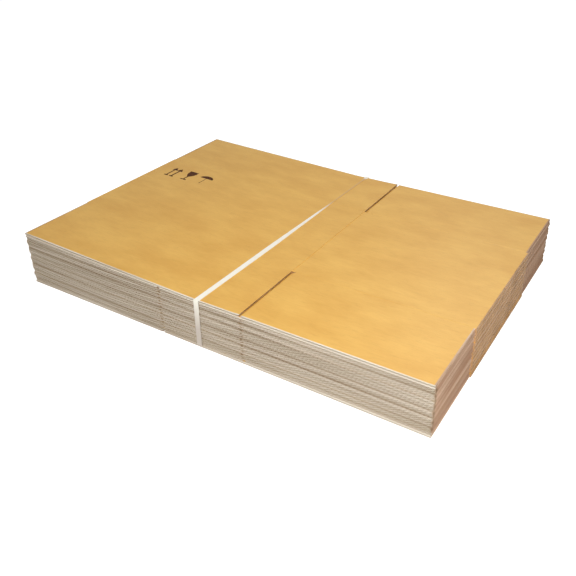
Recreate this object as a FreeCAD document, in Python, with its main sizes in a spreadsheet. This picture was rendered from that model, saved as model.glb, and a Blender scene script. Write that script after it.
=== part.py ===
import FreeCAD, Part
import math
import os
import Sketcher

# A strapped pack of flattened regular slotted boxes in single-wall corrugated board.
# Each box is one folded and glued blank: two leaves that lie on each other between two
# folds, a short flap row along the front and the back, and a slot between the flaps of
# neighbouring panels. The pack is pressed flat at the strap and springs open at the left.
# The upper leaf of the top box has its flutes as open channels; they run from front to
# back, as they do in all the leaves.

# Sizes in millimetres. Lengths run from the left folds (X), depths from front to back (Y).
SIZES = {
    # the pack
    "box_count": 15,
    "lean": 0.8,
    "bulge": 6,
    "side_jog": 2,
    "front_jog": 2.2,
    "top_spring": 2,
    # the blank
    "panel_long": 600,
    "panel_short": 400,
    "body_height": 336,
    "flap_room": 12,
    "board": 3.6,
    "liner": 0.5,
    "flute_pitch": 7.9,
    "flute_web": 0.7,
    "slot_width": 5,
    "slot_flare": 5,
    "flare_reach": 9,
    "fold_round": 2,
    "fold_wall": 2.2,
    "fold_relief": 0.8,
    "score_width": 3,
    "score_depth": 0.3,
    "seam_gap": 1.2,
    "tab_board": 1.4,
    # air between the two leaves of a box
    "leaf_gap": 0.13,
    "fold_gap": 1.1,
    # the strap
    "strap_front": 497,
    "strap_back": 508,
    "strap_lead": 13,
    "strap_width": 12,
    "strap_board": 0.7,
    "strap_waist": 4,
    "waist_start": 270,
    "waist_end": 520,
    "waist_flare": 30,
    "weld_lap": 32,
    "groove_room": 0.3,
}

# Lengths that follow from the sizes, as expressions on the sheet.
LENGTH = "(Sizes.panel_long + Sizes.panel_short)"
FLAP = "((Sizes.panel_short - Sizes.flap_room) / 2)"
HALF_BODY = "(Sizes.body_height / 2)"
HALF_DEPTH = f"({HALF_BODY} + {FLAP})"
PITCH = "(2 * Sizes.board + Sizes.leaf_gap)"
FOLD_PITCH = "(2 * Sizes.board + Sizes.fold_gap)"
WEDGE = f"({FOLD_PITCH} - {PITCH})"
NIP = "(Sizes.strap_front - Sizes.strap_width / 2 - Sizes.strap_lead)"
SET_BACK = "(Sizes.fold_wall + Sizes.fold_relief)"
STACK = f"(Sizes.box_count * {PITCH} + Sizes.top_spring)"
STRAP_REACH = f"({HALF_DEPTH} + Sizes.front_jog)"
FLUTE_CORE = "(Sizes.board - 2 * Sizes.liner)"
FLUTE_HALF = f"(Sizes.flute_pitch / 2 * (1 - Sizes.flute_web / (2 * {FLUTE_CORE})))"

# How far a cutting outline runs past the board that it cuts.
OVERCUT = 2


def make_sheet(doc):
    """Write the sizes into a spreadsheet, one alias to a row."""
    sheet = doc.addObject("Spreadsheet::Sheet", "Sizes")
    for row, (alias, value) in enumerate(SIZES.items(), start=1):
        sheet.set(f"A{row}", alias)
        sheet.set(f"B{row}", str(value))
        sheet.setAlias(f"B{row}", alias)
    doc.recompute()
    return sheet


def make_gauge(doc):
    """An object with one number, which reads an expression on the sheet."""
    gauge = doc.addObject("App::FeaturePython", "Gauge")
    gauge.addProperty("App::PropertyFloat", "Reading")
    return gauge


def read(gauge, expression):
    gauge.setExpression("Reading", expression)
    gauge.recompute()
    return gauge.Reading


def add_sketch(body, name, role, lift="0"):
    """A sketch on one of the body's own planes, moved along the plane's normal by lift."""
    sketch = body.newObject("Sketcher::SketchObject", name)
    plane = [item for item in body.Origin.OriginFeatures if item.Role == role][0]
    sketch.AttachmentSupport = [(plane, "")]
    sketch.MapMode = "FlatFace"
    sketch.setExpression(".AttachmentOffset.Base.z", lift)
    return sketch


def bind(sketch, gauge, kind, edge, spot, expression):
    """Hold a point of an edge (1 start, 2 end, 3 centre) at a distance that stays bound."""
    distance = read(gauge, expression)
    index = sketch.addConstraint(Sketcher.Constraint(kind, edge, spot, distance))
    name = f"{kind}_{edge}_{spot}"
    sketch.renameConstraint(index, name)
    sketch.setExpression(f"Constraints.{name}", expression)


def bind_point(sketch, gauge, edge, spot, across, up):
    bind(sketch, gauge, "DistanceX", edge, spot, across)
    bind(sketch, gauge, "DistanceY", edge, spot, up)


def add_outline(sketch, gauge, corners):
    """Closed outline of straight edges through corners, given as pairs of expressions."""
    spots = [FreeCAD.Vector(read(gauge, a), read(gauge, b), 0) for a, b in corners]
    edges = []
    for start, end in zip(spots, spots[1:] + spots[:1]):
        edges.append(sketch.addGeometry(Part.LineSegment(start, end), False))
    for edge, following in zip(edges, edges[1:] + edges[:1]):
        sketch.addConstraint(Sketcher.Constraint("Coincident", edge, 2, following, 1))
    for edge, (across, up) in zip(edges, corners):
        bind_point(sketch, gauge, edge, 1, across, up)


def add_block(sketch, gauge, left, right, low, high):
    add_outline(sketch, gauge, [(left, low), (right, low), (right, high), (left, high)])


def add_cut(body, name, sketch, depth=None, towards_normal=False, both_ways=False):
    """Pocket against the sketch's normal, or with it, through everything or to a depth."""
    cut = body.newObject("PartDesign::Pocket", name)
    cut.Profile = sketch
    cut.Reversed = towards_normal
    cut.Midplane = both_ways
    if depth is None:
        cut.Type = "ThroughAll"
    else:
        cut.setExpression("Length", depth)
    return cut


class BoxPlace:
    """Where one box lies in the pack, counted from 0 at the bottom. The lowest box slipped
    furthest to the front and the right when the pack was set down. Nothing but the strap
    presses on the top box, so its upper leaf springs up."""

    def __init__(self, order):
        self.order = order
        self.is_top = order == int(SIZES["box_count"]) - 1
        share = f"({order} / max(1; Sizes.box_count - 1))"
        looseness = 1 if order == 0 else 0.5
        side_step = looseness * ((3 * order + 4) % 5 - 2) / 2
        front_step = looseness * (3 * order % 5 - 2) / 2
        self.shift = (
            f"(Sizes.lean * (1 - 2 * {share}) - Sizes.bulge * sin(pi * {share})"
            f" + Sizes.side_jog * {side_step})"
        )
        self.forward = f"(Sizes.front_jog * {front_step})"
        self.nip = f"({NIP} - {self.shift})"

    def thickness(self, along):
        """Room that one box takes at a distance from its own left fold."""
        return f"({PITCH} + {WEDGE} * max(0; {self.nip} - {along}) / {NIP})"

    def level(self, along, boxes):
        """Height of a box's underside (boxes = 0), middle (0.5) or top (1)."""
        spring = "Sizes.top_spring" if self.is_top and boxes == 1 else "0"
        return f"({self.order + boxes} * {self.thickness(along)} + {spring})"


def add_folded_section(sketch, gauge, place):
    """Outline of the closed loop of board: two flat runs with a nip and two upright folds,
    whose edges are crushed round."""
    near = "Sizes.fold_round"
    far = f"({LENGTH} - Sizes.fold_round)"
    stations = [near, place.nip, far]
    under = [(x, place.level(x, 0)) for x in stations]
    over = [(x, place.level(x, 1)) for x in reversed(stations)]
    far_fold = [
        (LENGTH, f"({under[2][1]} + Sizes.fold_round)"),
        (LENGTH, f"({over[0][1]} - Sizes.fold_round)"),
    ]
    near_fold = [
        ("0", f"({over[2][1]} - Sizes.fold_round)"),
        ("0", f"({under[0][1]} + Sizes.fold_round)"),
    ]
    runs = [under, far_fold, over, near_fold]
    spots = [[FreeCAD.Vector(read(gauge, a), read(gauge, b), 0) for a, b in run] for run in runs]

    loop = []
    pins = []
    for order, centre in enumerate((far, far, near, near)):
        run = spots[order]
        for start, end in zip(run, run[1:]):
            loop.append(sketch.addGeometry(Part.LineSegment(start, end), False))
            pins.append((loop[-1], 1, runs[order][run.index(start)]))
        pins.append((loop[-1], 2, runs[order][-1]))
        start, end = run[-1], spots[(order + 1) % len(runs)][0]
        half_chord = (end - start) / 2
        outwards = FreeCAD.Vector(half_chord.y, -half_chord.x, 0) * (math.sqrt(2) - 1)
        crown = start + half_chord + outwards
        loop.append(sketch.addGeometry(Part.Arc(start, crown, end), False))
        pins.append((loop[-1], 3, (centre, None)))

    for edge, following in zip(loop, loop[1:] + loop[:1]):
        sketch.addConstraint(Sketcher.Constraint("Coincident", edge, 2, following, 1))
    for edge, spot, (across, up) in pins:
        bind(sketch, gauge, "DistanceX", edge, spot, across)
        if up is not None:
            bind(sketch, gauge, "DistanceY", edge, spot, up)


def add_leaf_gap(sketch, gauge, place):
    """The thin air space between the two leaves, from fold to fold."""
    stations = ["Sizes.fold_wall", place.nip, f"({LENGTH} - Sizes.fold_wall)"]
    under = [(x, f"({place.level(x, 0)} + Sizes.board)") for x in stations]
    over = [(x, f"({place.level(x, 1)} - Sizes.board)") for x in reversed(stations)]
    add_outline(sketch, gauge, under + over)


def add_flap_blocks(sketch, gauge, left, right):
    """The same cut in the front flap row and in the back one."""
    past_edge = f"({HALF_DEPTH} + {OVERCUT})"
    add_block(sketch, gauge, left, right, HALF_BODY, past_edge)
    add_block(sketch, gauge, left, right, f"(-{past_edge})", f"(-{HALF_BODY})")


def add_seam_slots(sketch, gauge, left):
    """The slots in line with the seam, which flare at their inner ends beside the glue tab."""
    past_edge = f"({HALF_DEPTH} + {OVERCUT})"
    right = f"({left} + Sizes.slot_width)"
    flared = f"({right} + Sizes.slot_flare)"
    reach = f"({HALF_BODY} + Sizes.flare_reach)"
    back = [
        (left, HALF_BODY), (flared, HALF_BODY), (right, reach), (right, past_edge),
        (left, past_edge),
    ]
    add_outline(sketch, gauge, back)
    add_outline(sketch, gauge, [(x, f"(-{y})") for x, y in reversed(back)])


def add_scores(body, gauge, place):
    """Shallow pressed lines across both faces, where the flaps will fold."""
    lift = f"({HALF_BODY} + Sizes.score_width / 2)"
    sketch = add_sketch(body, "ScoreBands", "XZ_Plane", f"(-{lift})")
    stations = ["Sizes.fold_round", place.nip, f"({LENGTH} - Sizes.fold_round)"]
    for boxes, inward in ((0, 1), (1, -1)):
        faces = [(x, place.level(x, boxes)) for x in stations]
        outer = [(x, f"({z} - {inward * OVERCUT})") for x, z in faces]
        inner = [(x, f"({z} + {inward} * Sizes.score_depth)") for x, z in reversed(faces)]
        add_outline(sketch, gauge, outer + inner)
    scores = add_cut(body, "Scores", sketch, depth="Sizes.score_width", towards_normal=True)
    mirror = body.newObject("PartDesign::Mirrored", "ScoresBothRows")
    mirror.Originals = [scores]
    plane = [item for item in body.Origin.OriginFeatures if item.Role == "XZ_Plane"][0]
    mirror.MirrorPlane = (plane, [""])
    body.Tip = mirror


def add_flutes(body, gauge, place, section):
    """The flutes of the upper leaf, as triangular channels from front to back. One pair, of
    which one stands and one hangs, is repeated along each of the two straight runs."""
    ceiling = f"({place.level('{x}', 1)} - Sizes.liner)"
    floor = f"({ceiling} - {FLUTE_CORE})"
    web = "(Sizes.flute_web / 2)"
    along_x = [item for item in body.Origin.OriginFeatures if item.Role == "X_Axis"][0]
    over_slope = "Edge7"
    room = f"({SET_BACK} + Sizes.flute_pitch / 2)"
    runs = (
        ("Flat", place.nip, f"({LENGTH} - {room} - {place.nip})", (along_x, [""])),
        ("Slope", f"({place.nip} - Sizes.flute_pitch)", f"({place.nip} - {room})",
         (section, [over_slope])),
    )
    for name, start, reach, direction in runs:
        sketch = add_sketch(body, f"{name}FluteSection", "XZ_Plane")
        left, right = f"({start} - {FLUTE_HALF})", f"({start} + {FLUTE_HALF})"
        standing = [
            (left, floor.format(x=left)),
            (right, floor.format(x=right)),
            (start, f"({ceiling.format(x=start)} - {web})"),
        ]
        add_outline(sketch, gauge, standing)
        following = f"({start} + Sizes.flute_pitch / 2)"
        left, right = f"({following} - {FLUTE_HALF})", f"({following} + {FLUTE_HALF})"
        hanging = [
            (following, f"({floor.format(x=following)} + {web})"),
            (right, ceiling.format(x=right)),
            (left, ceiling.format(x=left)),
        ]
        add_outline(sketch, gauge, hanging)
        channels = add_cut(body, f"{name}FlutePair", sketch, both_ways=True)
        pattern = body.newObject("PartDesign::LinearPattern", f"{name}Flutes")
        pattern.Originals = [channels]
        pattern.Direction = direction
        pattern.Mode = "Spacing"
        pattern.setExpression("Offset", "Sizes.flute_pitch")
        pattern.setExpression("Occurrences", f"floor({reach} / Sizes.flute_pitch)")
        body.Tip = pattern


def add_strap_groove(body, gauge, place):
    """The dent that the strap presses into the underside, as deep as the strap is thick."""
    sketch = add_sketch(body, "GrooveOutline", "XY_Plane")
    half = "(Sizes.strap_width / 2 + Sizes.groove_room)"
    past = f"({HALF_DEPTH} + {OVERCUT})"
    front = f"(Sizes.strap_front - {place.shift})"
    back = f"(Sizes.strap_back - {place.shift})"
    corners = [
        (f"({front} - {half})", f"(-{past})"),
        (f"({front} + {half})", f"(-{past})"),
        (f"({back} + {half})", past),
        (f"({back} - {half})", past),
    ]
    add_outline(sketch, gauge, corners)
    add_cut(body, "StrapGroove", sketch, depth="Sizes.strap_board", towards_normal=True)


def make_box(doc, gauge, order):
    """One flattened box: a folded loop of board with its flaps, slots, scores and seam."""
    place = BoxPlace(order)
    body = doc.addObject("PartDesign::Body", f"FlatBox{order + 1:02d}")
    body.Label = f"flat_box_{order + 1:02d}"

    section = add_sketch(body, "FoldedSection", "XZ_Plane")
    add_folded_section(section, gauge, place)
    loop = body.newObject("PartDesign::Pad", "FoldedBoard")
    loop.Profile = section
    loop.Midplane = True
    loop.setExpression("Length", f"2 * {HALF_DEPTH}")

    gap = add_sketch(body, "LeafGapSection", "XZ_Plane")
    add_leaf_gap(gap, gauge, place)
    add_cut(body, "LeafGap", gap, both_ways=True)

    # The slots at the two folds take the fold away, so each flap ends in two cut leaves.
    ends = add_sketch(body, "FoldSlots", "XY_Plane")
    add_flap_blocks(ends, gauge, f"(-{OVERCUT})", SET_BACK)
    add_flap_blocks(ends, gauge, f"({LENGTH} - {SET_BACK})", f"({LENGTH} + {OVERCUT})")
    add_cut(body, "FoldSlotCut", ends, towards_normal=True)

    # The upper leaf has its slots beside the glued seam, the lower one where the short
    # panel ends, so the two rows of slots lie apart.
    seam = "Sizes.panel_long"
    upper = add_sketch(body, "UpperSlots", "XY_Plane", place.level(seam, 0.5))
    add_seam_slots(upper, gauge, seam)
    add_cut(body, "UpperSlotCut", upper, towards_normal=True)

    turn = "Sizes.panel_short"
    lower = add_sketch(body, "LowerSlots", "XY_Plane", place.level(turn, 0.5))
    add_flap_blocks(lower, gauge, f"({turn} - Sizes.slot_width)", turn)
    add_cut(body, "LowerSlotCut", lower)

    # The seam is open down to the crushed glue tab, which runs on under the long panel.
    joint = add_sketch(body, "SeamLine", "XY_Plane", place.level(seam, 1))
    add_block(joint, gauge, seam, f"({seam} + Sizes.seam_gap)", f"(-{HALF_BODY})", HALF_BODY)
    add_cut(body, "Seam", joint, depth="Sizes.board - Sizes.tab_board")

    add_scores(body, gauge, place)
    if order == 0:
        add_strap_groove(body, gauge, place)
    if place.is_top:
        add_flutes(body, gauge, place, section)

    centring = "(Sizes.bulge - Sizes.lean) / 2"
    body.setExpression(".Placement.Base.x", f"{place.shift} - {LENGTH} / 2 + {centring}")
    body.setExpression(".Placement.Base.y", place.forward)
    return body


def make_strap(doc, gauge):
    """The plastic band round the middle of the pack, gathered to a waist towards the back."""
    body = doc.addObject("PartDesign::Body", "Strap")
    body.Label = "strap"
    half = "(Sizes.strap_width / 2)"
    left = f"(min(Sizes.strap_front; Sizes.strap_back) - {half})"
    right = f"(max(Sizes.strap_front; Sizes.strap_back) + {half})"
    outer = f"({STRAP_REACH} + Sizes.strap_board)"

    section = add_sketch(body, "BandSection", "YZ_Plane", left)
    add_block(section, gauge, f"(-{outer})", outer, "0", f"({STACK} + Sizes.strap_board)")
    add_block(section, gauge, f"(-{STRAP_REACH})", STRAP_REACH, "Sizes.strap_board", STACK)
    band = body.newObject("PartDesign::Pad", "Band")
    band.Profile = section
    band.setExpression("Length", f"{right} - {left}")
    doc.recompute()

    corners = []
    for index, edge in enumerate(band.Shape.Edges, start=1):
        box = edge.BoundBox
        along_band = box.XLength > 1
        at_reach = abs(abs(box.Center.y) - read(gauge, outer)) < 1e-3
        if along_band and at_reach:
            corners.append(f"Edge{index}")
    rounded = body.newObject("PartDesign::Fillet", "RoundedCorners")
    rounded.Base = (band, corners)
    rounded.setExpression("Radius", "Sizes.strap_board")

    # The ends of the tape overlap on the back run, where they are welded together.
    lap_section = add_sketch(body, "WeldLapSection", "YZ_Plane", left)
    low, high = (f"(({STACK} {sign} Sizes.weld_lap) / 2)" for sign in "-+")
    add_block(lap_section, gauge, outer, f"({outer} + Sizes.strap_board)", low, high)
    lap = body.newObject("PartDesign::Pad", "WeldLap")
    lap.Profile = lap_section
    lap.setExpression("Length", f"{right} - {left}")

    # The band is trimmed to its outline as seen from above: a plain oblique strip
    # below, and on top a strip that narrows to the waist and widens at the back edge.
    past = f"({outer} + {OVERCUT})"
    slant = f"((Sizes.strap_back - Sizes.strap_front) / (2 * {HALF_DEPTH}))"

    def middle(depth):
        return f"(Sizes.strap_front + {slant} * ({depth} + {HALF_DEPTH}))"

    def strip(stations):
        right_side = [(f"({middle(y)} + {reach})", y) for y, reach in stations]
        left_side = [(f"({middle(y)} - {reach})", y) for y, reach in reversed(stations)]
        return right_side + left_side

    waist = "(Sizes.strap_waist / 2)"
    plain = strip([(f"(-{past})", half), (past, half)])
    gathered = strip([
        (f"(-{past})", half),
        (f"(Sizes.waist_start - {HALF_DEPTH})", half),
        (f"(Sizes.waist_end - {HALF_DEPTH})", waist),
        (f"({HALF_DEPTH} - Sizes.waist_flare)", waist),
        (past, half),
    ])
    top_run = f"({STACK} - Sizes.strap_width / 4)"
    for name, outline, upwards in (("TopRun", gathered, True), ("Loop", plain, False)):
        trim = add_sketch(body, f"{name}Outline", "XY_Plane", top_run)
        wide_left = f"({left} - {OVERCUT})"
        wide_right = f"({right} + {OVERCUT})"
        far_past = f"({past} + {OVERCUT})"
        add_block(trim, gauge, wide_left, wide_right, f"(-{far_past})", far_past)
        add_outline(trim, gauge, outline)
        add_cut(body, f"{name}Trim", trim, towards_normal=upwards)

    centring = "(Sizes.bulge - Sizes.lean) / 2"
    body.setExpression(".Placement.Base.x", f"-{LENGTH} / 2 + {centring}")
    return body


def check(doc, bodies):
    """Stop before writing if any object failed or any piece isn't one sound solid."""
    for item in doc.Objects:
        if "Invalid" in item.State or "Error" in item.State:
            raise RuntimeError(f"{item.Name} failed: {item.State}")
    for body in bodies:
        shape = body.Shape
        if shape.isNull() or not shape.isValid() or len(shape.Solids) != 1:
            raise RuntimeError(f"{body.Label} isn't one sound solid")


def main():
    doc = FreeCAD.newDocument("StrappedPack")
    make_sheet(doc)
    gauge = make_gauge(doc)
    bodies = [make_box(doc, gauge, order) for order in range(int(SIZES["box_count"]))]
    bodies.append(make_strap(doc, gauge))
    doc.recompute()
    check(doc, bodies)
    os.makedirs("parts", exist_ok=True)
    for body in bodies:
        body.Shape.exportStep(f"parts/{body.Label}.step")
        print(f"{body.Label}: {body.Shape.Volume / 1000:.0f} cm3, {len(body.Shape.Faces)} faces")


main()
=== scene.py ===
"""Looks of a strapped pack of flattened corrugated boxes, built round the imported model.

Every flattened box is a blank of two leaves with open flutes along its front and back
edges, and rounded folds at its ends. A white plastic strap goes round the middle, and
the top box bears printed handling signs. Sizes are in metres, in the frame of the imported
model.
"""

import logging
import math
import random
from dataclasses import dataclass, field
from enum import Enum

import bmesh
import bpy
from mathutils import Matrix, Vector


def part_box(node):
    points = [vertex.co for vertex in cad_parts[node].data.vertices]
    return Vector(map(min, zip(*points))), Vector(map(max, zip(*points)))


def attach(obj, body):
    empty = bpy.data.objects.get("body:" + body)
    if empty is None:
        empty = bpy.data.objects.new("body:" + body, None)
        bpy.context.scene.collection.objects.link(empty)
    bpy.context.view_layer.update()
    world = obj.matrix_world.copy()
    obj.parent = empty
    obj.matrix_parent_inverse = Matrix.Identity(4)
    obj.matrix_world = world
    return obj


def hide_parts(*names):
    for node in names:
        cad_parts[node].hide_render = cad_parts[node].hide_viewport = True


LOG = logging.getLogger("strapped_pack")
PHOTO_WIDTH = 576
SENSOR_WIDTH = 36.0
NEAR = 1e-5

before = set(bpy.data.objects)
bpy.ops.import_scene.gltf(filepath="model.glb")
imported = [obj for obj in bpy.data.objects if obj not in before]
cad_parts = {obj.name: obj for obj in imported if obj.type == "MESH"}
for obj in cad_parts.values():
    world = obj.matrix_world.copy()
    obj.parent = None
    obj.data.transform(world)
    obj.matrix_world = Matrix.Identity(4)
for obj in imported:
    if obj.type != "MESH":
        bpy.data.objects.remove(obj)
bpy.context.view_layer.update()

Colour = tuple[float, float, float, float]
Sizes = tuple[float, float, float]
Pair = tuple[float, float]
Tree = bpy.types.NodeTree
Socket = bpy.types.NodeSocket
Sheet = bmesh.types.BMesh
Material = bpy.types.Material


def linear(hex_colour: str) -> Colour:
    """Turn an sRGB hex colour into linear light.

    Args:
        hex_colour: Six hex digits after a hash sign.

    Returns:
        Red, green, blue and an alpha of one.
    """
    parts = [int(hex_colour[i:i + 2], 16) / 255 for i in (1, 3, 5)]
    light = [c / 12.92 if c <= 0.04045 else ((c + 0.055) / 1.055) ** 2.4 for c in parts]
    return (light[0], light[1], light[2], 1.0)


def add_node(
    tree: Tree, kind: str, feeds: dict[str | int, object] | None = None, **settings: object
) -> bpy.types.Node:
    """Add a node with its settings, its values and its links.

    Args:
        tree: The node tree of a material or the world.
        kind: The node's type name.
        feeds: A value or an output socket for each input, by name or number.
        **settings: Properties of the node.

    Returns:
        The new node.
    """
    node = tree.nodes.new(kind)
    for name, value in settings.items():
        setattr(node, name, value)
    for name, value in (feeds or {}).items():
        if isinstance(value, Socket):
            tree.links.new(value, node.inputs[name])
        else:
            node.inputs[name].default_value = value
    return node


class Finish(Enum):
    """Which finish a face of a box takes; the value is its place among the materials.

    In order: the printed face; the medium's cut edge and the felt rim in view, cream
    partly as painted highlight; the hollow between the liners, the medium's dull colour
    with painted shade, also laid as painted shade on the rims between boxes; the bent
    liner and the slot walls, a darker copy of the liner as painted shade; a flap's cut
    end and its pale rim beside the fold as painted highlight; and a liner's cut edge.
    """

    LINER = 0
    CUT = 1
    # Dull medium with painted shade in the hollows, and painted shade on the rims between boxes
    FLUTE_AND_SHADE = 2
    # A darker copy of the liner: painted shade on the folds and the slot walls
    SHADED_LINER = 3
    # Cut flap ends, and a pale rim beside the folds as painted highlight
    SIDE = 4
    EDGE = 5


class FinishTree:
    """Steps that the finishes share, on the node tree of one new material.

    Colours are mixed by noises that have a real size along each axis, and the same
    noises raise the surface by a height in metres.
    """

    def __init__(self, name: str) -> None:
        """Start a material with nothing but object coordinates in it.

        Args:
            name: The material's name.
        """
        self.material = bpy.data.materials.new(name)
        self.material.use_nodes = True
        self.tree = self.material.node_tree
        self.tree.nodes.clear()
        place = add_node(self.tree, "ShaderNodeTexCoord")
        self.place = place.outputs["Object"]

    def noise(self, grain: Sizes, detail: float = 2.0, roughness: float = 0.5) -> Socket:
        """A noise whose features have a real size along each axis.

        Args:
            grain: Size of one feature along X, Y and Z.
            detail: Octaves of the noise.
            roughness: How strongly the finer octaves show.

        Returns:
            The noise's value.
        """
        feeds = {"Vector": self.place, "Scale": tuple(1 / size for size in grain)}
        mapping = add_node(self.tree, "ShaderNodeMapping", feeds)
        feeds = {
            "Vector": mapping.outputs["Vector"],
            "Scale": 1.0,
            "Detail": detail,
            "Roughness": roughness,
        }
        return add_node(self.tree, "ShaderNodeTexNoise", feeds).outputs["Fac"]

    def spread(self, value: Socket, low: float, high: float, most: float = 1.0) -> Socket:
        """Stretch a band of a value over a range from zero, clamped.

        Args:
            value: The value to stretch.
            low: Where the band starts.
            high: Where the band ends.
            most: Result at the end of the band.

        Returns:
            The stretched value.
        """
        feeds = {"Value": value, "From Min": low, "From Max": high, "To Max": most}
        return add_node(self.tree, "ShaderNodeMapRange", feeds).outputs["Result"]

    def blend(self, share: Socket, first: Socket | Colour, second: Socket | Colour) -> Socket:
        """Mix two colours.

        Args:
            share: How much of the second colour shows.
            first: The first colour.
            second: The second colour.

        Returns:
            The mixed colour.
        """
        colour_a, colour_b, colour_out = 6, 7, 2
        feeds = {0: share, colour_a: first, colour_b: second}
        mix = add_node(self.tree, "ShaderNodeMix", feeds, data_type="RGBA")
        return mix.outputs[colour_out]

    def height(self, layers: list[tuple[Socket, float]]) -> Socket:
        """Raise the surface by several values, each times its height.

        Args:
            layers: Values and their heights in metres.

        Returns:
            The bumped normal.
        """
        total: Socket | float = 0.0
        for value, rise in layers:
            feeds = {0: value, 1: rise, 2: total}
            step = add_node(self.tree, "ShaderNodeMath", feeds, operation="MULTIPLY_ADD")
            total = step.outputs[0]
        feeds = {"Strength": 1.0, "Distance": 1.0, "Height": total}
        return add_node(self.tree, "ShaderNodeBump", feeds).outputs["Normal"]

    def waves(self, pitch: float) -> Socket:
        """Waves along X, from -1 to 1.

        Args:
            pitch: Length of one wave.

        Returns:
            The waves' value.
        """
        axes = add_node(self.tree, "ShaderNodeSeparateXYZ", {"Vector": self.place})
        turns = {0: axes.outputs["X"], 1: math.tau / pitch}
        angle = add_node(self.tree, "ShaderNodeMath", turns, operation="MULTIPLY")
        sine = add_node(self.tree, "ShaderNodeMath", {0: angle.outputs[0]}, operation="SINE")
        return sine.outputs[0]

    def close(self, **feeds: object) -> Material:
        """Close the material with a principled shader.

        Args:
            **feeds: Values and sockets of the shader, with underscores for spaces.

        Returns:
            The finished material.
        """
        named = {name.replace("_", " "): value for name, value in feeds.items()}
        shader = add_node(self.tree, "ShaderNodeBsdfPrincipled", named)
        add_node(self.tree, "ShaderNodeOutputMaterial", {"Surface": shader.outputs["BSDF"]})
        return self.material


@dataclass(frozen=True)
class KraftLiner:
    """Kraft liner: golden brown, cloudy, with long fibres that run across the flutes."""

    name: str = "kraft_liner"
    pale: str = "#E2B257"
    deep: str = "#D6A248"
    ruddy: str = "#D79E48"
    speck: str = "#9A6B2C"
    cloud: Sizes = (0.110, 0.050, 0.050)
    streak: Sizes = (0.030, 0.005, 0.010)
    fibre: Sizes = (0.022, 0.0010, 0.0030)
    speckle: Sizes = (0.0040, 0.0010, 0.0010)
    fibre_height: float = 0.00003
    flute_pitch: float = 0.0079
    flute_show: float = 0.000012
    roughness: float = 0.47
    sheen: float = 0.50

    def material(self) -> Material:
        """Build the material.

        Returns:
            The liner's material.
        """
        paper = FinishTree(self.name)
        clouds = paper.noise(self.cloud, 3.0, 0.6)
        streaks = paper.noise(self.streak, 3.0, 0.6)
        fibres = paper.noise(self.fibre, 3.0, 0.6)
        specks = paper.noise(self.speckle, 1.0)
        pale, deep, ruddy, speck = map(linear, (self.pale, self.deep, self.ruddy, self.speck))
        colour = paper.blend(paper.spread(clouds, 0.32, 0.68), deep, pale)
        colour = paper.blend(paper.spread(streaks, 0.52, 0.78, 0.40), colour, ruddy)
        colour = paper.blend(paper.spread(streaks, 0.48, 0.25, 0.25), colour, pale)
        colour = paper.blend(paper.spread(fibres, 0.55, 0.75, 0.30), colour, speck)
        colour = paper.blend(paper.spread(specks, 0.68, 0.80, 0.40), colour, speck)
        normal = paper.height([
            (fibres, self.fibre_height),
            (streaks, self.fibre_height),
            (paper.waves(self.flute_pitch), self.flute_show),
        ])
        return paper.close(
            Base_Color=colour,
            Roughness=self.roughness,
            Specular_IOR_Level=self.sheen,
            Normal=normal,
        )


@dataclass(frozen=True)
class CutBoard:
    """Board edge cut by a slotting knife: felted, matt and greyer than the liner."""

    name: str = "cut_board"
    pale: str = "#F6F0E4"
    deep: str = "#DCD0BC"
    layer: Sizes = (0.400, 0.400, 0.0070)
    felt: Sizes = (0.0060, 0.0060, 0.0010)
    felt_height: float = 0.00010
    roughness: float = 0.85
    sheen: float = 0.15

    def material(self) -> Material:
        """Build the material.

        Returns:
            The cut edge's material.
        """
        paper = FinishTree(self.name)
        layers = paper.noise(self.layer, 1.0)
        felt = paper.noise(self.felt, 3.0, 0.65)
        pale, deep = linear(self.pale), linear(self.deep)
        colour = paper.blend(paper.spread(layers, 0.35, 0.65), deep, pale)
        colour = paper.blend(paper.spread(felt, 0.50, 0.75, 0.45), colour, deep)
        return paper.close(
            Base_Color=colour,
            Roughness=self.roughness,
            Specular_IOR_Level=self.sheen,
            Normal=paper.height([(felt, self.felt_height)]),
        )


@dataclass(frozen=True)
class Strapping:
    """White polypropylene strapping: embossed in a fine waffle, a little glossy.

    It darkens towards the bottom as painted shade, and shows the kraft's tan where it is gathered
    thin.
    """

    name: str = "white_polypropylene"
    clean: str = "#F4EFE1"
    soiled: str = "#E4D9C2"
    # Lavender grey of the painted shade low on the strap
    low_shade: str = "#B5A69B"
    low_shade_heights: Pair = (0.112, 0.045)
    tan: str = "#D0A564"
    gathered: Pair = (0.100, 0.180)
    back_edge: Pair = (0.345, 0.355)
    smear: Sizes = (0.030, 0.012, 0.012)
    emboss: float = 0.0016
    emboss_height: float = 0.00006
    roughness: float = 0.38
    refraction: float = 1.49

    def material(self) -> Material:
        """Build the material.

        Returns:
            The strap's material.
        """
        plastic = FinishTree(self.name)
        feeds = {
            "Vector": plastic.place,
            "Rotation": (0.0, 0.0, math.radians(45)),
            "Scale": (1 / self.emboss,) * 3,
        }
        mapping = add_node(plastic.tree, "ShaderNodeMapping", feeds)
        feeds = {"Vector": mapping.outputs["Vector"], "Scale": 1.0, "Randomness": 0.0}
        waffle = add_node(plastic.tree, "ShaderNodeTexVoronoi", feeds).outputs["Distance"]
        smears = plastic.noise(self.smear, 3.0, 0.6)
        share = plastic.spread(smears, 0.55, 0.80, 0.5)
        clean = plastic.blend(share, linear(self.clean), linear(self.soiled))
        axes = add_node(plastic.tree, "ShaderNodeSeparateXYZ", {"Vector": plastic.place}).outputs
        # Painted shade: the strap darkens towards the bottom
        low = plastic.spread(axes["Z"], *self.low_shade_heights, 0.8)
        colour = plastic.blend(low, clean, linear(self.low_shade))
        thin = plastic.spread(axes["Y"], *self.gathered)
        colour = plastic.blend(thin, colour, linear(self.tan))
        colour = plastic.blend(plastic.spread(axes["Y"], *self.back_edge), colour, clean)
        return plastic.close(
            Base_Color=colour,
            Roughness=self.roughness,
            IOR=self.refraction,
            Normal=plastic.height([(waffle, self.emboss_height)]),
        )


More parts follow.
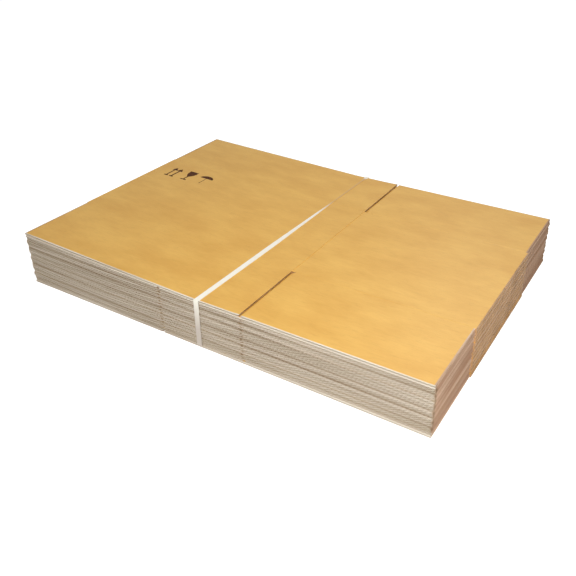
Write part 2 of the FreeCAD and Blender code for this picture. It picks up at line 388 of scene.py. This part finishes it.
@dataclass(frozen=True)
class PrintInk:
    """Dark brown flexo ink, soaked into the liner: matt, and thin on the high fibres."""

    name: str = "flexo_ink"
    ink: str = "#47260F"
    bare: str = "#B07B32"
    wear: Sizes = (0.0060, 0.0012, 0.0020)
    roughness: float = 0.75
    sheen: float = 0.20

    def material(self) -> Material:
        """Build the material.

        Returns:
            The ink's material.
        """
        paper = FinishTree(self.name)
        pale_reach = paper.spread(paper.noise(self.wear, 3.0, 0.7), 0.55, 0.75, 0.6)
        colour = paper.blend(pale_reach, linear(self.ink), linear(self.bare))
        return paper.close(
            Base_Color=colour, Roughness=self.roughness, Specular_IOR_Level=self.sheen
        )


def faces_at(mesh: Sheet, axis: int, value: float) -> list[bmesh.types.BMFace]:
    """Find the faces that lie in a plane square to an axis.

    Args:
        mesh: The mesh to look through.
        axis: 0, 1 or 2 for X, Y or Z.
        value: Where the plane crosses the axis.

    Returns:
        The faces found.
    """
    return [
        face
        for face in mesh.faces
        if all(abs(vert.co[axis] - value) < NEAR for vert in face.verts)
    ]


def slab(low: Vector, high: Vector, cuts_x: list[float], cuts_y: list[float]) -> Sheet:
    """A slab of board, cut across at some places so that it can bend there.

    Args:
        low: Its lowest corner.
        high: Its highest corner.
        cuts_x: Where it is cut along X.
        cuts_y: Where it is cut along Y.

    Returns:
        The slab as a mesh being edited.
    """
    mesh = bmesh.new()
    bmesh.ops.create_cube(mesh, size=1.0)
    bmesh.ops.scale(mesh, vec=high - low, verts=mesh.verts)
    bmesh.ops.translate(mesh, vec=(high + low) / 2, verts=mesh.verts)
    for axis, cuts in ((0, cuts_x), (1, cuts_y)):
        normal = Vector((0.0, 0.0, 0.0))
        normal[axis] = 1.0
        for value in cuts:
            if low[axis] + NEAR < value < high[axis] - NEAR:
                everything = mesh.verts[:] + mesh.edges[:] + mesh.faces[:]
                spot = normal * value
                bmesh.ops.bisect_plane(mesh, geom=everything, plane_co=spot, plane_no=normal)
    return mesh


def sink(mesh: Sheet, faces: list[bmesh.types.BMFace], move: Vector, finish: Finish) -> None:
    """Push faces in, so that they become the floor of a pocket.

    Args:
        mesh: The mesh being edited.
        faces: The faces to push in.
        move: How far and which way.
        finish: The finish of the pocket's floor and walls.
    """
    made = bmesh.ops.extrude_face_region(mesh, geom=faces)["geom"]
    bmesh.ops.delete(mesh, geom=faces, context="FACES")
    verts = [item for item in made if isinstance(item, bmesh.types.BMVert)]
    bmesh.ops.translate(mesh, vec=move, verts=verts)
    for vert in verts:
        for face in vert.link_faces:
            face.material_index = finish.value


def add_to(whole: Sheet, part: Sheet) -> None:
    """Join one edited mesh to another, and free it.

    Args:
        whole: The mesh that grows.
        part: The mesh that is joined to it.
    """
    scratch = bpy.data.meshes.new("scratch")
    part.to_mesh(scratch)
    part.free()
    whole.from_mesh(scratch)
    bpy.data.meshes.remove(scratch)


def object_from(name: str, mesh: Sheet, materials: list[Material]) -> bpy.types.Object:
    """Put an edited mesh into the scene, and free it.

    Args:
        name: The object's name.
        mesh: The mesh.
        materials: The object's materials.

    Returns:
        The new object.
    """
    data = bpy.data.meshes.new(name)
    mesh.to_mesh(data)
    mesh.free()
    for material in materials:
        data.materials.append(material)
    piece = bpy.data.objects.new(name, data)
    bpy.context.scene.collection.objects.link(piece)
    return piece


@dataclass
class BoxPlan:
    """Where one flattened box lies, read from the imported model.

    The box is drawn flat, from its left fold along X, and then settled into the pack.
    """

    order: int
    count: int
    strap_lead: float = 0.013
    strap_board: float = 0.0007
    node: str = field(init=False)
    length: float = field(init=False)
    left: float = field(init=False)
    middle: float = field(init=False)
    half_depth: float = field(init=False)
    nip: float = field(init=False)
    lows: Pair = field(init=False)
    highs: Pair = field(init=False)

    def __post_init__(self) -> None:
        """Read the box's levels from its own node and its neighbours'."""
        self.node = f"flat_box_{self.order + 1:02d}"
        low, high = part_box(self.node)
        strap_low, strap_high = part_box("strap")
        self.length = high.x - low.x
        self.left = low.x
        self.middle = (low.y + high.y) / 2
        self.half_depth = (high.y - low.y) / 2
        self.nip = strap_low.x - self.strap_lead - self.left
        below = 0.0 if self.is_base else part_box(f"flat_box_{self.order:02d}")[1].z
        above = strap_high.z - self.strap_board
        if not self.is_top:
            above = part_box(f"flat_box_{self.order + 2:02d}")[0].z
        self.lows = (below, low.z)
        self.highs = (high.z, above)

    @property
    def is_base(self) -> bool:
        """Whether no box lies below this one."""
        return self.order == 0

    @property
    def is_top(self) -> bool:
        """Whether no box lies on this one."""
        return self.order + 1 == self.count

    def level(self, ends: Pair, x: float) -> float:
        """Height of a face that slopes from the left fold to the nip and is level beyond.

        Args:
            ends: Its height at the left fold and at the nip.
            x: How far from the left fold.

        Returns:
            The height there.
        """
        share = max(0.0, (self.nip - x) / self.nip)
        return ends[1] + (ends[0] - ends[1]) * share


@dataclass
class FlattenedBox:
    """One flattened box of C-flute board, with its open flutes, slots, folds and seam.

    The strip beside a cut edge is narrow and cream where it is in view, crushed felt partly
    as painted highlight, and wider where other boxes shade it, painted dark as painted shade.
    The base box's upper flaps are a little short, with their liner edges painted dark as
    painted shade under the box above.
    """

    plan: BoxPlan
    board: float = 0.0036
    liner: float = 0.00040
    medium: float = 0.0009
    flute_pitch: float = 0.0079
    flute_depth: float = 0.011
    flute_steps: int = 8
    flute_drift: float = 0.3
    flute_fill: float = 0.96
    end_depth: float = 0.0008
    panel_long: float = 0.600
    panel_short: float = 0.400
    half_body: float = 0.168
    slot_width: float = 0.005
    slot_flare: float = 0.005
    flare_reach: float = 0.009
    set_back: float = 0.003
    fold_round: float = 0.002
    fold_facets: int = 3
    seam_gap: float = 0.0012
    seam_depth: float = 0.0007
    score_half: float = 0.0015
    score_depth: float = 0.0003
    lip: float = 0.0009
    lip_reach: float = 0.040
    trim: float = 0.0006
    felt_and_light_rim: float = 0.0025
    # Width of the dark strip of painted shade on a box between others
    shaded: float = 0.0060
    shy: float = 0.0025
    highlight_rim: float = 0.0030
    most_slack: float = 0.45
    leaf_gap: float = 0.0003
    rub: float = 0.00004

    def __post_init__(self) -> None:
        """Seed the small differences between boxes, and note where they bend and wear."""
        self.dice = random.Random(f"box {self.plan.order}")
        self.thick = 2 * self.board + self.leaf_gap
        self.bends = [self.plan.nip]
        if self.plan.is_top:
            self.bends += [self.panel_long - self.lip_reach * share for share in (1.0, 0.5)]
        # Beside each fold the flaps get a pale rim as painted highlight
        self.pale_reach = self.set_back + self.highlight_rim
        self.in_view = self.plan.is_base or self.plan.is_top

    def seam_lip(self, x: float) -> float:
        """How far the top leaf lifts beside the seam, where it lies on the glue tab."""
        if not self.plan.is_top or x > self.panel_long + NEAR:
            return 0.0
        return self.lip * max(0.0, 1 - (self.panel_long - x) / self.lip_reach) ** 2

    def settle(self, mesh: Sheet, slack: float = 0.0) -> None:
        """Move a part of the flat box to its place in the pack.

        Args:
            mesh: The part, drawn flat.
            slack: Share of the air between the leaves that the part's outer edge takes.
        """
        plan = self.plan
        for vert in mesh.verts:
            x, y, z = vert.co
            top = plan.level(plan.highs, x) - self.rub
            bottom = plan.level(plan.lows, x) + self.rub
            from_score = abs(y) - self.half_body
            reach = max(0.0, from_score / (plan.half_depth - self.half_body))
            sag = slack * reach * max(0.0, top - bottom - 2 * self.board)
            dent = self.score_depth * max(0.0, 1 - abs(from_score) / self.score_half)
            if z > self.thick - NEAR:
                z -= dent
            elif z < NEAR:
                z += dent
            if z > self.thick / 2:
                level = top - self.thick + z - sag + self.seam_lip(x)
            else:
                level = bottom + z + sag
            vert.co = (plan.left + x, plan.middle + y, level)

    def body(self) -> Sheet:
        """The middle of the box between the flap rows: both leaves, the folds and the seam.

        Returns:
            The body, settled in the pack.
        """
        length, seam = self.plan.length, self.panel_long
        low = Vector((0.0, -self.half_body, 0.0))
        high = Vector((length, self.half_body, self.thick))
        inside = self.half_body - self.score_half
        bends = self.bends + [seam, seam + self.seam_gap]
        mesh = slab(low, high, bends, [-inside, inside])
        # The fold faces take the darker copy of the liner as painted shade
        for side in (-self.half_body, self.half_body):
            for face in faces_at(mesh, 1, side):
                face.material_index = Finish.SHADED_LINER.value
        groove = [
            face
            for face in faces_at(mesh, 2, self.thick)
            if seam < face.calc_center_median().x < seam + self.seam_gap
        ]
        sink(mesh, groove, Vector((0, 0, -self.seam_depth)), Finish.LINER)
        corners = []
        # The folds at both ends take the darker copy of the liner as painted shade
        for end in (0.0, length):
            for face in faces_at(mesh, 0, end):
                face.material_index = Finish.SHADED_LINER.value
                corners += [e for e in face.edges if abs(e.verts[0].co.z - e.verts[1].co.z) < NEAR]
        bmesh.ops.bevel(
            mesh,
            geom=corners,
            offset=self.fold_round,
            segments=self.fold_facets,
            profile=0.5,
            affect="EDGES",
            material=Finish.SHADED_LINER.value,
        )
        self.settle(mesh)
        return mesh

    def open_edge(
        self,
        mesh: Sheet,
        faces: list[bmesh.types.BMFace],
        move: Vector,
        finishes: tuple[Finish, Finish],
    ) -> None:
        """Open the end of a slab between its two liners.

        Args:
            mesh: The slab.
            faces: The faces of that end.
            move: How deep and which way it is hollow.
            finishes: The finish of the liners' edges and the finish inside.
        """
        for face in faces:
            face.material_index = finishes[0].value
        bmesh.ops.inset_region(mesh, faces=faces, thickness=self.liner, depth=0.0)
        sink(mesh, faces, move, finishes[1])

    def wear(self, mesh: Sheet, felt_and_light_rim: float) -> None:
        """Give a flap its strip beside the cut edge and its rim beside the fold.

        The strip is cream felt on a box in view, partly as painted highlight, and dark as
        painted shade on a box between others. The rim beside the fold is pale as painted
        highlight.

        Args:
            mesh: The flap.
            felt_and_light_rim: Where the strip beside the cut edge starts, from the box's middle.
        """
        # A box in view gets a cream felt strip, partly painted highlight; a box between others gets
        # the dark flute colour there as painted shade
        strip = Finish.CUT if self.in_view else Finish.FLUTE_AND_SHADE
        for face in mesh.faces:
            middle = face.calc_center_median()
            if abs(middle.y) > felt_and_light_rim:
                face.material_index = strip.value
            # A pale rim beside the fold: painted highlight
            elif min(middle.x, self.plan.length - middle.x) < self.pale_reach:
                face.material_index = Finish.SIDE.value

    def open_sides(self, mesh: Sheet, left: float, right: float) -> None:
        """Open a flap's two sides, at a fold or at a slot.

        Args:
            mesh: The flap.
            left: Where it starts along X.
            right: Where it ends.
        """
        for end, inward in ((left, 1), (right, -1)):
            hollow = Vector((inward * self.end_depth, 0, 0))
            at_fold = min(end, self.plan.length - end) < self.set_back + NEAR
            # A flap's end at a slot takes the darker copy of the liner as painted shade
            wall = Finish.SIDE if at_fold else Finish.SHADED_LINER
            self.open_edge(mesh, faces_at(mesh, 0, end), hollow, (wall, wall))

    def flare(self, mesh: Sheet, left: float) -> None:
        """Cut the flap's inner corner back, where the slot widens beside the seam.

        Args:
            mesh: The flap.
            left: Where its edge at the slot is.
        """
        for vert in mesh.verts:
            if vert.co.x < left + 2 * self.end_depth:
                reach = abs(vert.co.y) - self.half_body
                vert.co.x += self.slot_flare * max(0.0, 1 - reach / self.flare_reach)

    def flap(self, left: float, right: float, side: int, upper: bool) -> list[Sheet]:
        """One flap with its row of open flutes.

        Args:
            left: Where it starts along X.
            right: Where it ends.
            side: -1 for the front row, 1 for the back row.
            upper: Whether it belongs to the upper leaf.

        Returns:
            The flap's liners with their core, and the fluted sheet between them.
        """
        bottom = self.thick - self.board if upper else 0.0
        outer = self.plan.half_depth - self.dice.uniform(0.0, self.trim)
        is_short = upper and self.plan.is_base
        if is_short:
            outer -= self.shy
        # The strip is narrow on a box in view, and wider as painted shade on a box between others
        felt_and_light_rim = outer - (self.felt_and_light_rim if self.in_view else self.shaded)
        near, far = sorted((side * self.half_body, side * outer))
        low = Vector((left, near, bottom))
        high = Vector((right, far, bottom + self.board))
        marks = [self.half_body + self.score_half, self.half_body + self.flare_reach, felt_and_light_rim]
        bends = [*self.bends, self.pale_reach, self.plan.length - self.pale_reach]
        shell = slab(low, high, bends, [side * mark for mark in marks])
        self.wear(shell, felt_and_light_rim)
        self.open_sides(shell, left, right)
        hollow = Vector((0, -side * self.flute_depth, 0))
        # The base box's short upper flaps get the dark flute colour on their liner edges: painted
        # shade under the box above
        rim = Finish.FLUTE_AND_SHADE if is_short else Finish.EDGE
        self.open_edge(shell, faces_at(shell, 1, side * outer), hollow, (rim, Finish.FLUTE_AND_SHADE))
        if upper and abs(left - self.panel_long - self.slot_width) < NEAR:
            self.flare(shell, left)

        slack = self.dice.uniform(0.0, self.most_slack)
        if self.plan.is_top:
            slack = 0.0
        sheet = self.fluted_sheet(left, right, side * outer, bottom)
        for part in (shell, sheet):
            self.settle(part, slack)
        return [shell, sheet]

    def fluted_sheet(self, left: float, right: float, edge: float, bottom: float) -> Sheet:
        """The wavy medium inside one flap's open edge.

        Args:
            left: Where the flap starts along X.
            right: Where it ends.
            edge: Where its cut edge is along Y.
            bottom: Height of the leaf's underside in the flat box.

        Returns:
            The sheet, drawn flat in its leaf.
        """
        span = right - left - 2 * (self.liner + self.end_depth)
        depth = self.flute_depth * self.flute_fill
        mesh = bmesh.new()
        steps = round(span / self.flute_pitch * self.flute_steps)
        bmesh.ops.create_grid(mesh, x_segments=steps, y_segments=1, size=0.5)
        bmesh.ops.scale(mesh, vec=(span, depth, 1.0), verts=mesh.verts)
        inward = math.copysign(depth / 2, -edge)
        middle = Vector(((left + right) / 2, edge + inward, bottom + self.board / 2))
        bmesh.ops.translate(mesh, vec=middle, verts=mesh.verts)
        swing = (self.board - 2 * self.liner - self.medium) / 2
        phase = self.dice.uniform(-self.flute_drift, self.flute_drift)
        phase += math.pi * (self.plan.order % 2)
        for vert in mesh.verts:
            vert.co.z += swing * math.sin(math.tau * vert.co.x / self.flute_pitch + phase)
        bmesh.ops.solidify(mesh, geom=mesh.faces[:], thickness=self.medium)
        bmesh.ops.recalc_face_normals(mesh, faces=mesh.faces)
        levels = [vert.co.z for vert in mesh.verts]
        lift = bottom + self.board / 2 - (min(levels) + max(levels)) / 2
        bmesh.ops.translate(mesh, vec=(0, 0, lift), verts=mesh.verts)
        for face in mesh.faces:
            is_cut = abs(face.normal.y) > math.cos(math.radians(45))
            face.material_index = (Finish.CUT if is_cut else Finish.FLUTE_AND_SHADE).value
        return mesh

    def build(self, materials: list[Material]) -> bpy.types.Object:
        """Make the box and let it stand for its node.

        Args:
            materials: The finishes in their order.

        Returns:
            The new piece.
        """
        far = self.plan.length - self.set_back
        upper = [(self.set_back, self.panel_long), (self.panel_long + self.slot_width, far)]
        lower = [(self.set_back, self.panel_short - self.slot_width), (self.panel_short, far)]
        box = self.body()
        for side in (-1, 1):
            for is_upper, flaps in ((True, upper), (False, lower)):
                for left, right in flaps:
                    for part in self.flap(left, right, side, is_upper):
                        add_to(box, part)
        piece = object_from(f"fluted_box_{self.plan.order + 1:02d}", box, materials)
        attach(piece, "root")
        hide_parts(self.plan.node)
        return piece


@dataclass
class HandlingSigns:
    """Printed signs on the top box: two upright arrows, a glass and an umbrella.

    Places are measured from the left fold along X and from the front edge along Y.
    """

    plan: BoxPlan
    low: float = 0.432
    high: float = 0.486
    arrows: Pair = (0.0505, 0.0670)
    glass: float = 0.107
    umbrella: float = 0.157
    arrow_foot: Pair = (0.0120, 0.0050)
    arrow_stem: float = 0.0042
    arrow_head: float = 0.0105
    glass_foot: Pair = (0.0180, 0.0045)
    glass_stem: Pair = (0.0040, 0.0240)
    glass_bowl: Pair = (0.0135, 0.0320)
    glass_middle: float = 0.016
    glass_rise: float = 0.003
    canopy: Pair = (0.0200, 0.0155)
    canopy_drop: float = 0.0135
    pole: float = 0.0018
    hook: float = 0.0065
    hook_line: float = 0.0020
    film: float = 0.00002
    print: Sheet = field(init=False)

    def __post_init__(self) -> None:
        """Start with an empty print."""
        self.print = bmesh.new()

    def bar(self, centre: Pair, width: float, depth: float) -> None:
        """Print an upright rectangle.

        Args:
            centre: Its middle.
            width: Its size along X.
            depth: Its size along Y.
        """
        place = Matrix.Translation((*centre, 0.0)) @ Matrix.Diagonal((width, depth, 1.0, 1.0))
        bmesh.ops.create_grid(self.print, x_segments=1, y_segments=1, size=0.5, matrix=place)

    def oval(
        self,
        centre: Pair,
        radii: Pair,
        above: float | None = None,
        below: float | None = None,
        line: float = 0.0,
        segments: int = 32,
    ) -> None:
        """Print an oval, or the part of it above or below a line, filled or as a ring.

        Args:
            centre: Its middle.
            radii: Its radii along X and Y.
            above: Only what lies above this place along Y is kept.
            below: Only what lies below this place along Y is kept.
            line: Width of the ring, or zero for a filled oval.
            segments: Number of its edges.
        """
        shape = bmesh.new()
        place = Matrix.Translation((*centre, 0.0)) @ Matrix.Diagonal((*radii, 1.0, 1.0))
        bmesh.ops.create_circle(shape, cap_ends=True, radius=1.0, segments=segments, matrix=place)
        if line > 0:
            inner = shape.faces[:]
            bmesh.ops.inset_region(shape, faces=inner, thickness=line)
            bmesh.ops.delete(shape, geom=inner, context="FACES")
        for limit, outwards in ((above, -1.0), (below, 1.0)):
            if limit is not None:
                everything = shape.verts[:] + shape.edges[:] + shape.faces[:]
                bmesh.ops.bisect_plane(
                    shape,
                    geom=everything,
                    plane_co=(0.0, limit, 0.0),
                    plane_no=(0.0, outwards, 0.0),
                    clear_outer=True,
                )
        add_to(self.print, shape)

    def print_arrow(self, x: float) -> None:
        """Print an arrow that stands on a foot.

        Args:
            x: Where it stands.
        """
        width, foot = self.arrow_foot
        head = self.arrow_head
        neck = self.high - head
        self.bar((x, self.low + foot / 2), width, foot)
        self.bar((x, (self.low + neck) / 2), self.arrow_stem, neck - self.low)
        self.oval((x, neck), (head, head), above=neck - head / 2, segments=3)

    def print_glass(self) -> None:
        """Print a stemmed glass."""
        width, foot = self.glass_foot
        stem, length = self.glass_stem
        rim = self.high + self.glass_rise
        self.bar((self.glass, self.low + foot), width, foot)
        self.bar((self.glass, self.low + self.glass_middle), stem, length)
        self.oval((self.glass, rim), self.glass_bowl, below=rim)

    def print_umbrella(self) -> None:
        """Print an open umbrella with a hooked handle."""
        brim, bend = self.high - self.canopy_drop, self.low + self.hook
        self.oval((self.umbrella, brim), self.canopy, above=brim)
        self.bar((self.umbrella, (bend + brim) / 2), self.pole, brim - bend)
        centre = (self.umbrella - self.hook, bend)
        self.oval(centre, (self.hook, self.hook), below=bend, line=self.hook_line)

    def build(self, ink: Material) -> bpy.types.Object:
        """Print the signs on the sloping top.

        Args:
            ink: The ink's material.

        Returns:
            The print.
        """
        for x in self.arrows:
            self.print_arrow(x)
        self.print_glass()
        self.print_umbrella()
        front = self.plan.middle - self.plan.half_depth
        for vert in self.print.verts:
            level = self.plan.level(self.plan.highs, vert.co.x) - FlattenedBox.rub + self.film
            vert.co = (self.plan.left + vert.co.x, front + vert.co.y, level)
        bmesh.ops.recalc_face_normals(self.print, faces=self.print.faces)
        piece = object_from("handling_signs", self.print, [ink])
        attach(piece, "root")
        return piece


@dataclass(frozen=True)
class Lamp:
    """One soft light: an area light with its side in metres, or a sun with its angle."""

    name: str
    kind: str
    at: Vector
    towards: Vector
    power: float
    spread: float

    def hang(self) -> bpy.types.Object:
        """Hang the light in the scene.

        Returns:
            The light.
        """
        data = bpy.data.lights.new(self.name, self.kind)
        data.energy = self.power
        if self.kind == "SUN":
            data.angle = self.spread
        else:
            data.size = self.spread
        light = bpy.data.objects.new(self.name, data)
        light.location = self.at
        light.rotation_mode = "QUATERNION"
        light.rotation_quaternion = (self.towards - self.at).to_track_quat("-Z", "Y")
        bpy.context.scene.collection.objects.link(light)
        return light


@dataclass
class Studio:
    """Pale floor, pale surround, soft light from above and a lamp beside the camera."""

    camera_at: Vector = field(default_factory=lambda: Vector((0.76455, -1.2335, 0.8525)))
    yaw: float = math.radians(-32.333)
    pitch: float = math.radians(31.929)
    roll: float = math.radians(-0.435)
    focal_pixels: float = 693.46
    floor_size: float = 40.0
    floor_colour: str = "#F5F5F3"
    floor_white: float = 0.70
    floor_drop: float = 0.0002
    sky: float = 0.14

    def camera(self) -> bpy.types.Object:
        """Stand the camera where the picture was taken.

        Returns:
            The camera.
        """
        forward = Vector((
            math.sin(self.yaw) * math.cos(self.pitch),
            math.cos(self.yaw) * math.cos(self.pitch),
            -math.sin(self.pitch),
        ))
        level = Vector((math.cos(self.yaw), -math.sin(self.yaw), 0.0))
        upright = level.cross(forward)
        right = math.cos(self.roll) * level + math.sin(self.roll) * upright
        up = -math.sin(self.roll) * level + math.cos(self.roll) * upright
        turn = Matrix((right, up, -forward)).transposed()
        data = bpy.data.cameras.new("camera")
        data.sensor_width = SENSOR_WIDTH
        data.lens = self.focal_pixels * SENSOR_WIDTH / PHOTO_WIDTH
        camera = bpy.data.objects.new("camera", data)
        camera.matrix_world = Matrix.Translation(self.camera_at) @ turn.to_4x4()
        bpy.context.scene.collection.objects.link(camera)
        bpy.context.scene.camera = camera
        return camera

    def floor(self) -> bpy.types.Object:
        """Lay the pale floor, which looks white and keeps the shadow of the pack.

        Returns:
            The floor.
        """
        mesh = bmesh.new()
        bmesh.ops.create_grid(mesh, x_segments=1, y_segments=1, size=self.floor_size / 2)
        paint = FinishTree("pale_floor")
        tree = paint.tree
        seen = add_node(tree, "ShaderNodeLightPath")
        share = {0: seen.outputs["Is Camera Ray"], 1: self.floor_white}
        strength = add_node(tree, "ShaderNodeMath", share, operation="MULTIPLY")
        matt = add_node(tree, "ShaderNodeBsdfDiffuse", {"Color": linear(self.floor_colour)})
        glow = add_node(tree, "ShaderNodeEmission", {"Strength": strength.outputs[0]})
        both = add_node(
            tree, "ShaderNodeAddShader", {0: matt.outputs["BSDF"], 1: glow.outputs["Emission"]}
        )
        add_node(tree, "ShaderNodeOutputMaterial", {"Surface": both.outputs["Shader"]})
        floor = object_from("floor", mesh, [paint.material])
        floor.location.z = -self.floor_drop
        return floor

    def surround(self) -> bpy.types.World:
        """A soft sky that looks pale to the camera and in reflections.

        Returns:
            The world.
        """
        world = bpy.data.worlds.new("surround")
        bpy.context.scene.world = world
        world.use_nodes = True
        tree = world.node_tree
        tree.nodes.clear()
        seen = add_node(tree, "ShaderNodeLightPath")
        white: Socket | float = 0.0
        for kind in ("Is Camera Ray", "Is Glossy Ray", "Is Transmission Ray"):
            step = {0: seen.outputs[kind], 1: white}
            white = add_node(tree, "ShaderNodeMath", step, operation="MAXIMUM").outputs[0]
        feeds = {"Value": white, "To Min": self.sky, "To Max": 1.0}
        level = add_node(tree, "ShaderNodeMapRange", feeds)
        glow = add_node(tree, "ShaderNodeBackground", {"Strength": level.outputs["Result"]})
        add_node(tree, "ShaderNodeOutputWorld", {"Surface": glow.outputs["Background"]})
        return world

    def lamps(self) -> list[Lamp]:
        """Plan the lights round the pack.

        Returns:
            The lights.
        """
        pack = Vector((0.0, 0.0, 0.1))
        above = Vector((0.30, -0.32, 1.20))
        return [
            Lamp(
                name="window",
                kind="SUN",
                at=Vector((0.35, -0.95, 0.95)),
                towards=Vector(),
                power=1.12,
                spread=math.radians(35),
            ),
            Lamp(
                name="above",
                kind="AREA",
                at=above,
                towards=above - Vector((0, 0, 1)),
                power=3.8,
                spread=0.35,
            ),
            Lamp(
                name="beside_camera",
                kind="AREA",
                at=self.camera_at + Vector((0.08, 0.0, 0.15)),
                towards=pack,
                power=13.0,
                spread=0.3,
            ),
            Lamp(
                name="behind",
                kind="AREA",
                at=Vector((0.1, 1.3, 1.5)),
                towards=pack,
                power=7.0,
                spread=0.6,
            ),
        ]

    def build(self) -> None:
        """Set up everything round the pack."""
        self.camera()
        self.floor()
        self.surround()
        for lamp in self.lamps():
            lamp.hang()


def main() -> None:
    """Build every piece in order and report it."""
    logging.basicConfig(level=logging.INFO, format="%(message)s")
    bpy.context.scene.view_settings.view_transform = "Standard"
    Studio().build()
    LOG.info("studio ready")

    finishes = [
        KraftLiner().material(),
        CutBoard().material(),
        # Dull medium colour with painted shade, for the flute hollows and the rims between boxes
        CutBoard(name="fluting_medium_and_shade", pale="#B39B7B", deep="#8A7154").material(),
        # A darker copy of the liner: painted shade on the folds and slot walls
        KraftLiner(name="liner_in_painted_shade", pale="#CBA071", deep="#B08658", ruddy="#AC7E52").material(),
        # Cut flap ends, and the pale rim beside the folds as painted highlight
        CutBoard(name="slotted_edge_and_highlight", pale="#D6BBA2", deep="#B8957A").material(),
        CutBoard(name="liner_edge", pale="#F0E5D3", deep="#D6C6AD").material(),
    ]
    count = sum(name.startswith("flat_box_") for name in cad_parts)
    plans = [BoxPlan(order, count) for order in range(count)]
    for plan in plans:
        piece = FlattenedBox(plan).build(finishes)
        LOG.info("%s: %d faces", piece.name, len(piece.data.polygons))
    signs = HandlingSigns(plans[-1]).build(PrintInk().material())
    LOG.info("%s: %d faces", signs.name, len(signs.data.polygons))

    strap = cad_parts["strap"]
    strap.data.materials.clear()
    strap.data.materials.append(Strapping().material())
    LOG.info("%s dressed", strap.name)


if __name__ == "__main__":
    main()
